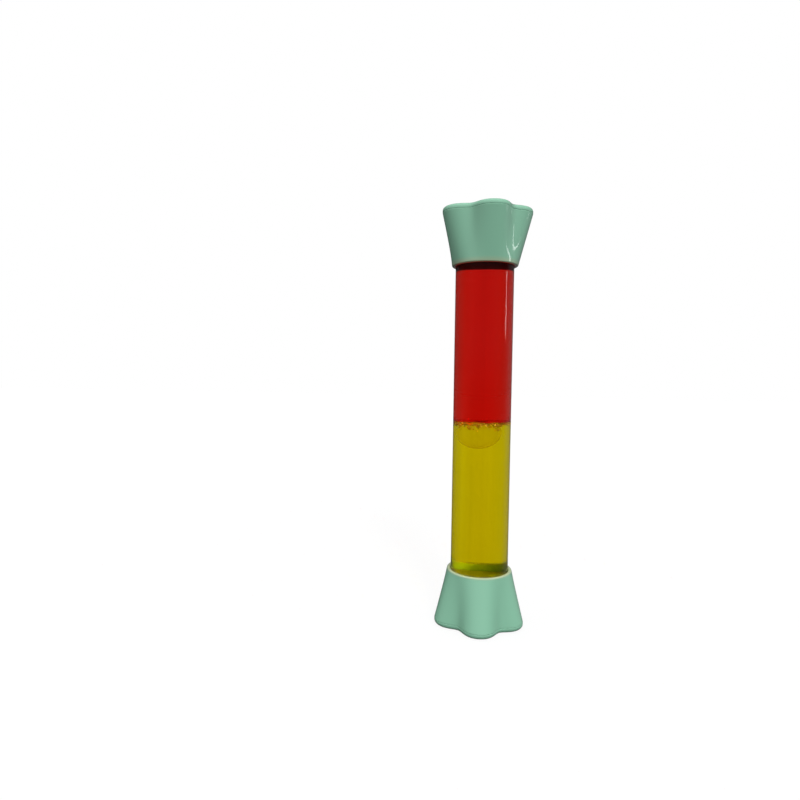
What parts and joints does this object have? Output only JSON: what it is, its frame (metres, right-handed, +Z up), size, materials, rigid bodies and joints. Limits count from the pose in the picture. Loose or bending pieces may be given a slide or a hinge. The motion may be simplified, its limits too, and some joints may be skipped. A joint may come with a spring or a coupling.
{
  "type": "sensory bottle",
  "caption": "Sealed clear tube of coloured liquids with a flower-shaped cap on each end, turned over to watch a drop sink and settle.",
  "frame": {"origin": "centre of the lower end plate's flat underside, on the tube's axis", "axes": "+Z up along the tube's axis from the lower end to the upper end; -Y is the side the picture shows"},
  "size_m": [0.0541, 0.0537, 0.25],
  "materials": {
    "mint_plastic": "satin",
    "clear_plastic": "gloss",
    "white_plastic": "satin",
    "black_rubber": "matte",
    "red_liquid": "gloss",
    "yellow_liquid": "gloss"
  },
  "bodies": {
    "bottle": {"tube": "clear_plastic", "lower_end_plate": "mint_plastic", "lower_cap": "mint_plastic", "lower_plug": "white_plastic", "lower_plug_inner_seal": "black_rubber", "lower_plug_outer_seal": "black_rubber", "upper_end_plate": "mint_plastic", "upper_cap": "mint_plastic", "upper_plug": "white_plastic", "upper_plug_inner_seal": "black_rubber", "upper_plug_outer_seal": "black_rubber", "fill_stopper": "white_plastic", "yellow_liquid": "yellow_liquid", "red_liquid": "red_liquid"},
    "drop": {"yellow_drop": "yellow_liquid"}
  },
  "joints": [
    {"name": "drop_travel", "type": "slide", "parent": "bottle", "child": "drop", "axis": [0, 0, 1], "range_m": [0, 0.0955], "deforming": ["red_liquid", "yellow_liquid"]}
  ]
}
